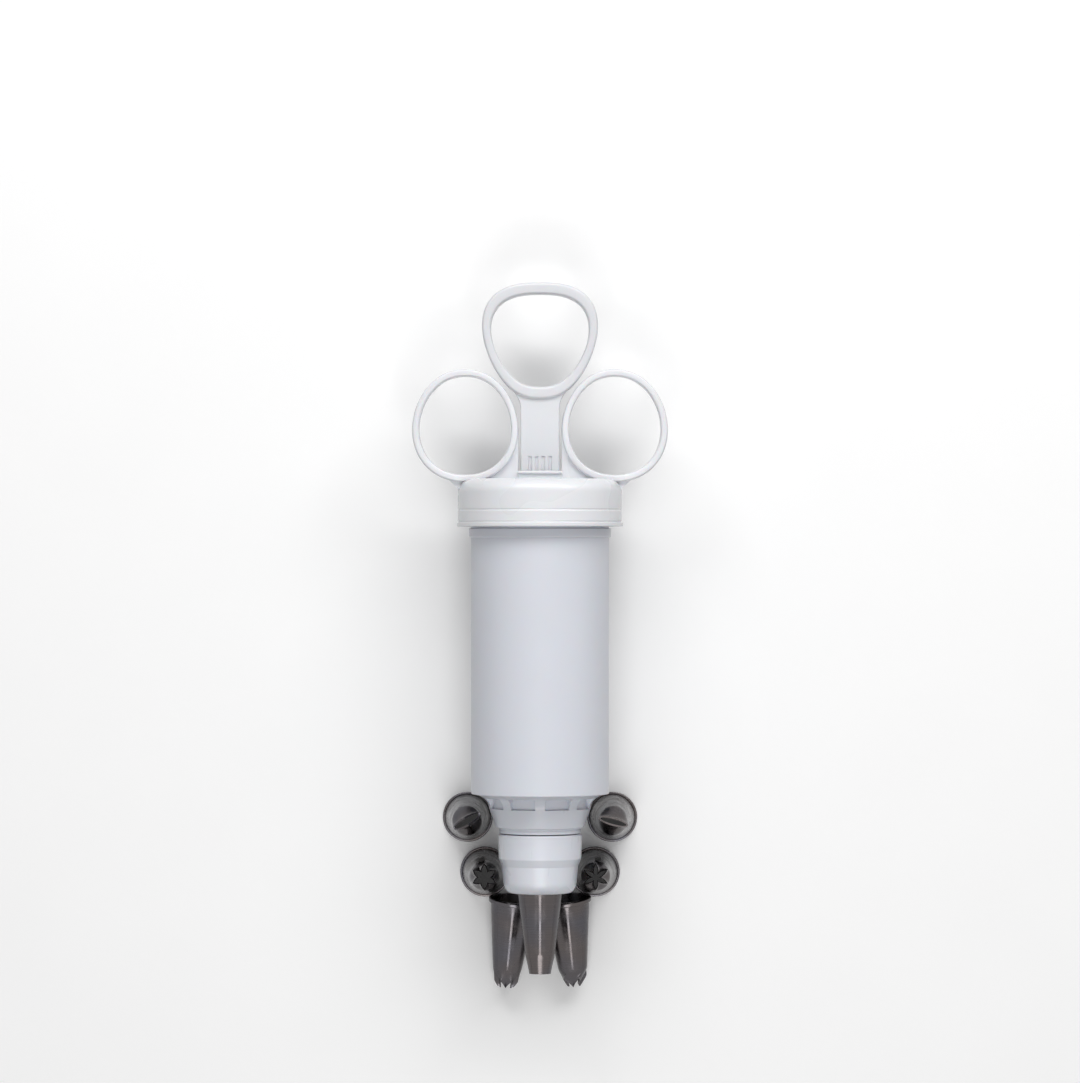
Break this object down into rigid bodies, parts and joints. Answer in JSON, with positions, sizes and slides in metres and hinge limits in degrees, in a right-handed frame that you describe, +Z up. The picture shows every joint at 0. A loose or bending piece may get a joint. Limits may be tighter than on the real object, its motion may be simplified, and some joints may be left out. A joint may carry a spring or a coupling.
{
  "type": "cake decorating syringe",
  "caption": "Icing syringe with a ring-handled screw cap, thumb-ring plunger and screw collar for piping nozzles, lying flat with loose nozzles standing and lying beside its neck.",
  "frame": {"origin": "on the surface that the object lies on, under the middle of its length and width", "axes": "+Y along the syringe towards the thumb ring, +X to the right finger ring seen from above, +Z up, square to the rings' plane"},
  "size_m": [0.0766, 0.2135, 0.0498],
  "materials": {
    "barrel_plastic": "bluish white moulded polypropylene, satin",
    "cap_plastic": "white moulded polypropylene, satin",
    "plunger_plastic": "white moulded polypropylene, satin",
    "seal_rubber": "soft moulded ring, matt",
    "collar_plastic": "white moulded polypropylene, smooth",
    "nozzle_steel": "thin polished stainless steel with fine turning marks"
  },
  "bodies": {
    "barrel": {"barrel": "barrel_plastic"},
    "ring_cap": {"ring_cap": "cap_plastic"},
    "plunger": {"plunger_rod": "plunger_plastic", "piston": "plunger_plastic", "piston_seal": "seal_rubber"},
    "fitted_nozzle": {"fitted_round_nozzle": "nozzle_steel"},
    "nozzle_collar": {"nozzle_collar": "collar_plastic"},
    "leaf_nozzle": {"loose_leaf_nozzle": "nozzle_steel"},
    "ribbon_nozzle": {"loose_ribbon_nozzle": "nozzle_steel"},
    "open_star_nozzle": {"loose_open_star_nozzle": "nozzle_steel"},
    "closed_star_nozzle": {"loose_closed_star_nozzle": "nozzle_steel"},
    "fine_star_nozzle": {"loose_fine_star_nozzle": "nozzle_steel"},
    "twist_star_nozzle": {"loose_twist_star_nozzle": "nozzle_steel"}
  },
  "joints": [
    {"name": "cap_turn", "type": "hinge", "parent": "barrel", "child": "ring_cap", "pos_m": [0, 0.0453, 0.0249], "axis": [0, 1, 0], "range_deg": [0, 270]},
    {"name": "plunger_slide", "type": "slide", "parent": "ring_cap", "child": "plunger", "axis": [0, 1, 0], "range_m": [0, 0.08]},
    {"name": "collar_travel", "type": "slide", "parent": "barrel", "child": "fitted_nozzle", "axis": [0, -1, 0], "range_m": [0, 0.0045]},
    {"name": "collar_turn", "type": "hinge", "parent": "fitted_nozzle", "child": "nozzle_collar", "pos_m": [0, -0.0676, 0.0249], "axis": [0, -1, 0], "range_deg": [0, 540]},
    {"name": "leaf_nozzle_away", "type": "slide", "parent": "barrel", "child": "leaf_nozzle", "axis": [-1, 0, 0], "range_m": [0, 0.06]},
    {"name": "ribbon_nozzle_away", "type": "slide", "parent": "barrel", "child": "ribbon_nozzle", "axis": [1, 0, 0], "range_m": [0, 0.06]},
    {"name": "open_star_nozzle_away", "type": "slide", "parent": "barrel", "child": "open_star_nozzle", "axis": [-1, 0, 0], "range_m": [0, 0.06]},
    {"name": "closed_star_nozzle_away", "type": "slide", "parent": "barrel", "child": "closed_star_nozzle", "axis": [1, 0, 0], "range_m": [0, 0.06]},
    {"name": "fine_star_nozzle_away", "type": "slide", "parent": "barrel", "child": "fine_star_nozzle", "axis": [0, -1, 0], "range_m": [0, 0.06]},
    {"name": "twist_star_nozzle_away", "type": "slide", "parent": "barrel", "child": "twist_star_nozzle", "axis": [0, -1, 0], "range_m": [0, 0.06]}
  ],
  "couplings": [
    {"joint": "collar_travel", "follows": "collar_turn", "m_per_rad": 0.000477}
  ]
}
